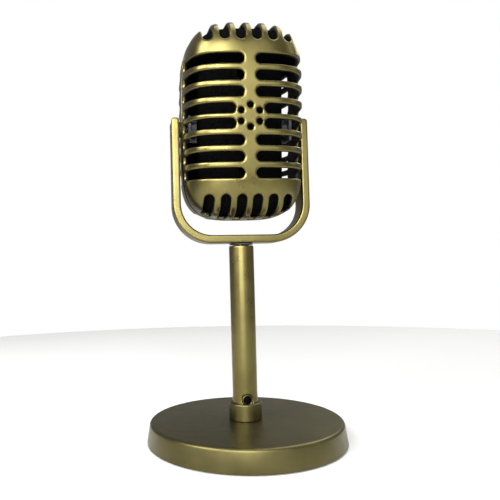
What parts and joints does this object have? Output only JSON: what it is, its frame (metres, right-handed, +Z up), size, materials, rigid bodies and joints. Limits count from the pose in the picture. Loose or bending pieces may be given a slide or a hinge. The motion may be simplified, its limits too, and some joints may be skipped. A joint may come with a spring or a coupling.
{
  "type": "desk microphone",
  "caption": "Vintage-style karaoke microphone: slotted two-shell head tilting in a flat yoke on a pole with a weighted round base.",
  "frame": {"origin": "middle of the underside of the base", "axes": "+Z up along the pole, the microphone's face looks along -Y, +X to the right seen from the front"},
  "size_m": [0.1, 0.1, 0.2091],
  "materials": {
    "bronze": "satin metallic antique bronze",
    "steel": "plain",
    "iron": "raw casting",
    "rubber": "matte black",
    "plastic": "moulded black",
    "foam": "open-cell acoustic foam, black",
    "cloth": "thin black acoustic grille cloth",
    "copper": "enamelled copper winding"
  },
  "bodies": {
    "stand": {"base_bolt": "steel", "base_bottom_plate": "steel", "base_pad": "rubber", "base_shell": "bronze", "base_washer": "steel", "base_weight": "iron", "cable_eyelet": "bronze", "plate_screw_1": "steel", "plate_screw_2": "steel", "plate_screw_3": "steel", "pole_collar": "bronze", "pole_foot_plug": "steel", "pole_top_plug": "steel", "pole_tube": "bronze", "swivel_screw": "steel", "swivel_washer": "rubber"},
    "yoke": {"yoke": "bronze"},
    "head": {"capsule_cap": "plastic", "capsule_holder": "plastic", "capsule_housing": "steel", "chin_foam": "foam", "crown_foam": "foam", "diaphragm": "plastic", "foam_sleeve": "foam", "front_shell": "bronze", "grille_cloth": "cloth", "head_frame": "plastic", "magnet": "iron", "magnet_cap": "steel", "pivot_nut_left": "iron", "pivot_nut_right": "iron", "pivot_screw_left": "steel", "pivot_screw_right": "steel", "pivot_washer_left": "rubber", "pivot_washer_right": "rubber", "rear_shell": "bronze", "shell_screw_lower": "steel", "shell_screw_upper": "steel", "shock_ring": "rubber", "voice_coil": "copper"}
  },
  "joints": [
    {"name": "yoke_swivel", "type": "hinge", "parent": "stand", "child": "yoke", "pos_m": [0, 0, 0.0999], "axis": [0, 0, 1], "range_deg": [-90, 90]},
    {"name": "head_tilt", "type": "hinge", "parent": "yoke", "child": "head", "pos_m": [0, 0, 0.1591], "axis": [1, 0, 0], "range_deg": [-50, 40]}
  ]
}
